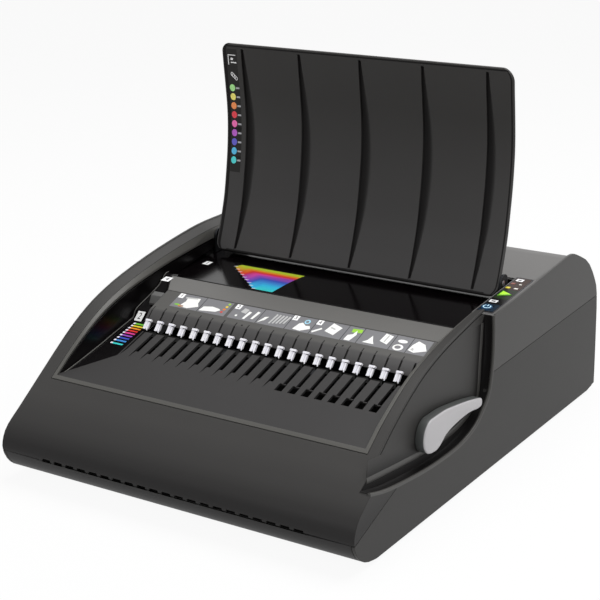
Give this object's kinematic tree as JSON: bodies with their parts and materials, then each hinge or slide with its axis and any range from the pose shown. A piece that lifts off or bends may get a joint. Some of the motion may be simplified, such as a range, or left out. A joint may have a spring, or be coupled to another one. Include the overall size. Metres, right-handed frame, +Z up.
{
  "type": "electric comb binding machine",
  "caption": "Desktop electric machine that punches paper and opens plastic combs, with a tall hinged paper cover, a row of hooks and a side lever.",
  "frame": {"origin": "on the table, under the middle of the casing", "axes": "+X to the user's right, +Y to the back, +Z up"},
  "size_m": [0.3894, 0.5353, 0.3799],
  "materials": {
    "charcoal_plastic": "fine moulded texture",
    "pale_rail": "satin",
    "gloss_black": "polished",
    "cover_plastic": "fine moulded texture",
    "grey_moulding": "satin",
    "lever_grey": "satin",
    "hook_white": "satin",
    "steel": "turned and ground",
    "dark_steel": "zinc plated sheet",
    "rubber": "matte",
    "board_green": "solder mask",
    "nylon": "natural nylon",
    "blue_key": "lit key",
    "green_key": "lit key",
    "amber_lens": "clear tinted",
    "red_lens": "clear tinted"
  },
  "bodies": {
    "root": {"front_fascia": "charcoal_plastic", "rear_cover": "charcoal_plastic", "base_housing": "charcoal_plastic", "opening_lip": "pale_rail", "left_wall_liner": "gloss_black", "right_wall_liner": "gloss_black", "comb_tray": "charcoal_plastic", "guide_plate": "grey_moulding", "crest_bar": "grey_moulding", "deck_panel": "gloss_black", "left_ledge": "gloss_black", "rack_guide_left": "nylon", "rack_guide_right": "nylon", "hinge_ear_left": "dark_steel", "hinge_ear_right": "dark_steel", "hinge_pin_left": "steel", "hinge_pin_right": "steel", "control_panel": "gloss_black", "amber_indicator": "amber_lens", "red_indicator": "red_lens", "switch_board": "board_green", "recess_panel": "charcoal_plastic", "lever_bush_left": "nylon", "lever_bush_right": "nylon", "frame_plate_left": "dark_steel", "frame_plate_right": "dark_steel", "shaft_bush_left": "nylon", "shaft_bush_right": "nylon", "die_block": "steel", "pin_guide_block": "steel", "motor": "steel", "motor_bracket": "dark_steel", "circuit_board": "board_green", "power_inlet": "gloss_black", "foot_front_left": "rubber", "foot_front_right": "rubber", "foot_rear_left": "rubber", "foot_rear_right": "rubber"},
    "cover": {"paper_cover": "cover_plastic"},
    "lever": {"release_lever": "lever_grey", "lever_shaft": "steel", "lever_pinion_left": "nylon", "lever_pinion_right": "nylon"},
    "hooks": {"rack_bar": "steel", "hooks_left": "hook_white", "hooks_middle": "hook_white", "hooks_right": "hook_white"},
    "slider": {"size_slider": "gloss_black"},
    "power_key": {"power_button": "blue_key"},
    "punch_key": {"punch_button": "green_key"},
    "drive": {"drive_shaft": "dark_steel", "drive_gear": "nylon"},
    "punch": {"punch_bar": "steel"},
    "pinion": {"motor_pinion": "steel"},
    "drawer": {"chip_drawer": "charcoal_plastic"}
  },
  "joints": [
    {"name": "cover_hinge", "type": "hinge", "parent": "root", "child": "cover", "pos_m": [0, 0.06799, 0.16898], "axis": [1, 0, 0], "range_deg": [0, 104.5]},
    {"name": "lever_turn", "type": "hinge", "parent": "root", "child": "lever", "pos_m": [0, -0.12697, 0.08046], "axis": [1, 0, 0], "range_deg": [0, 94]},
    {"name": "hook_slide", "type": "slide", "parent": "root", "child": "hooks", "axis": [0, -0.9563, -0.2924], "range_m": [0, 0.0282]},
    {"name": "size_slide", "type": "slide", "parent": "root", "child": "slider", "axis": [0, 0.9353, 0.3538], "range_m": [-0.008, 0.008]},
    {"name": "power_press", "type": "slide", "parent": "root", "child": "power_key", "axis": [0, 0.0854, -0.9963], "range_m": [0, 0.0008], "stiffness_N_per_m": 600},
    {"name": "punch_press", "type": "slide", "parent": "root", "child": "punch_key", "axis": [0, 0.0854, -0.9963], "range_m": [0, 0.0008], "stiffness_N_per_m": 600},
    {"name": "drive_turn", "type": "hinge", "parent": "root", "child": "drive", "pos_m": [0, 0.04401, 0.08199], "axis": [1, 0, 0], "range_deg": [0, 180]},
    {"name": "punch_slide", "type": "slide", "parent": "root", "child": "punch", "axis": [0, -1, 0], "range_m": [0, 0.0121]},
    {"name": "pinion_turn", "type": "hinge", "parent": "root", "child": "pinion", "pos_m": [0, 0.09295, 0.05917], "axis": [1, 0, 0], "range_deg": [-901, 1]},
    {"name": "drawer_slide", "type": "slide", "parent": "root", "child": "drawer", "axis": [-1, 0, 0], "range_m": [0, 0.25]}
  ],
  "couplings": [
    {"joint": "hook_slide", "follows": "lever_turn", "m_per_rad": 0.017},
    {"joint": "punch_slide", "follows": "drive_turn", "m_per_rad": 0.0038197},
    {"joint": "pinion_turn", "follows": "drive_turn", "ratio": -5}
  ]
}
